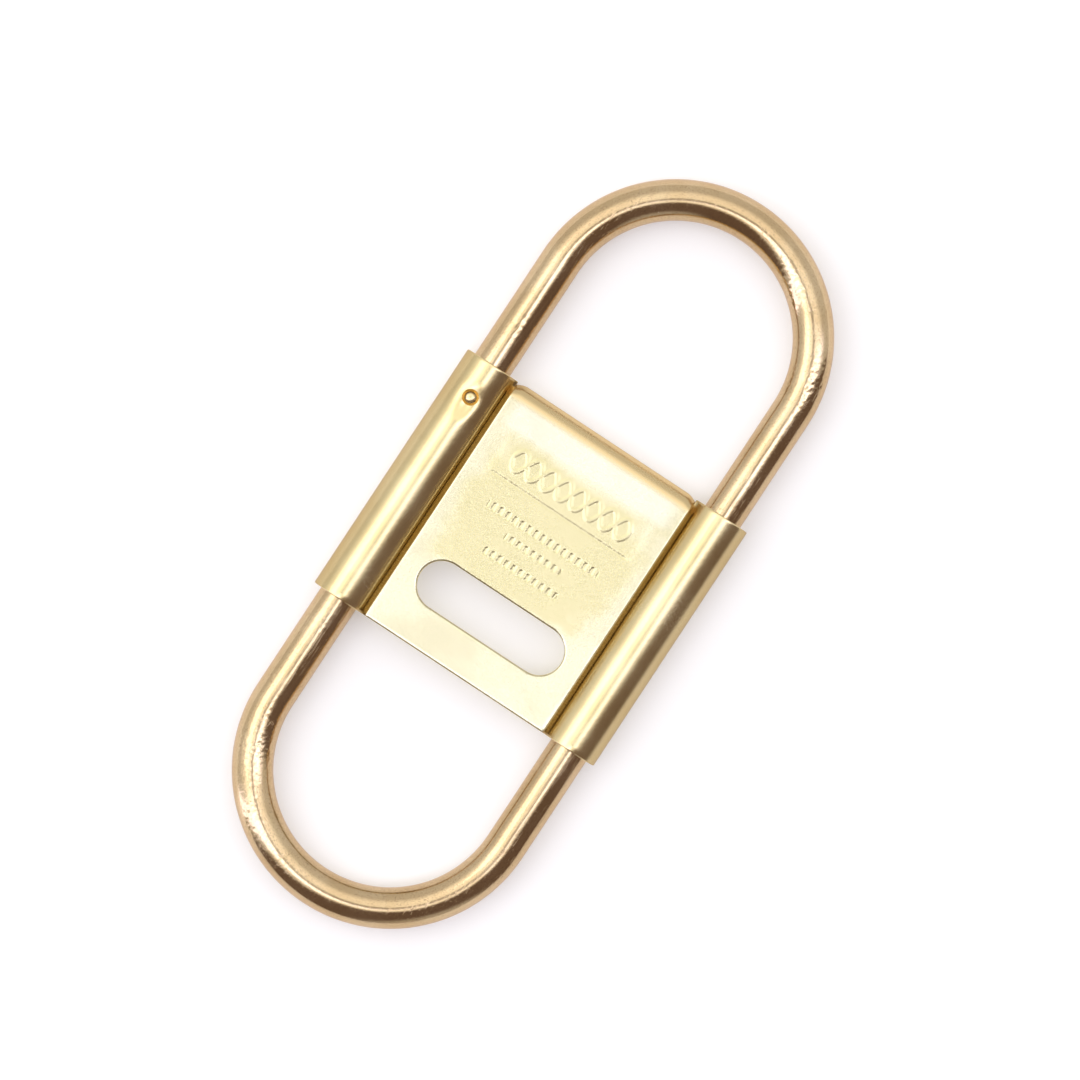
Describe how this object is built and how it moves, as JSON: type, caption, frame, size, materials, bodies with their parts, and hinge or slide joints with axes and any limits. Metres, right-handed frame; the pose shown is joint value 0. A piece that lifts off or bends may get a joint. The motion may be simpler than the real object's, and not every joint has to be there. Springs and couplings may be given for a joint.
{
  "type": "carabiner keyring",
  "caption": "Brass key ring: a sprung shackle and a fixed loop of round rod meet in a folded sheet body with a slot.",
  "frame": {"origin": "centre of the bounding box's base, on the surface that the ring lies on, midway between the two bends", "axes": "+Y along the legs towards the sprung shackle's bend, +X towards the shackle's short leg, +Z out of the cover plate's front"},
  "size_m": [0.04, 0.1, 0.007],
  "materials": {
    "satin_brass": "satin, finely textured sheet brass",
    "rod_brass": "polished rod with fine scratches and a pinker tone",
    "pin_brass": "turned and peened brass",
    "spring_steel": "bright drawn spring wire and stamped washer"
  },
  "bodies": {
    "body": {"sleeve_band": "satin_brass", "cover_plate": "satin_brass", "lower_loop": "rod_brass", "lower_loop_pin_left": "pin_brass", "lower_loop_pin_right": "pin_brass", "retaining_pin": "pin_brass", "thrust_washer": "spring_steel", "return_spring": "spring_steel"},
    "shackle": {"upper_shackle": "rod_brass", "end_collar": "pin_brass"}
  },
  "joints": [
    {"name": "shackle_pull", "type": "slide", "parent": "body", "child": "shackle", "axis": [0, 1, 0], "range_m": [0, 0.011], "stiffness_N_per_m": 900, "springref_m": -0.004, "deforming": ["return_spring"]}
  ]
}
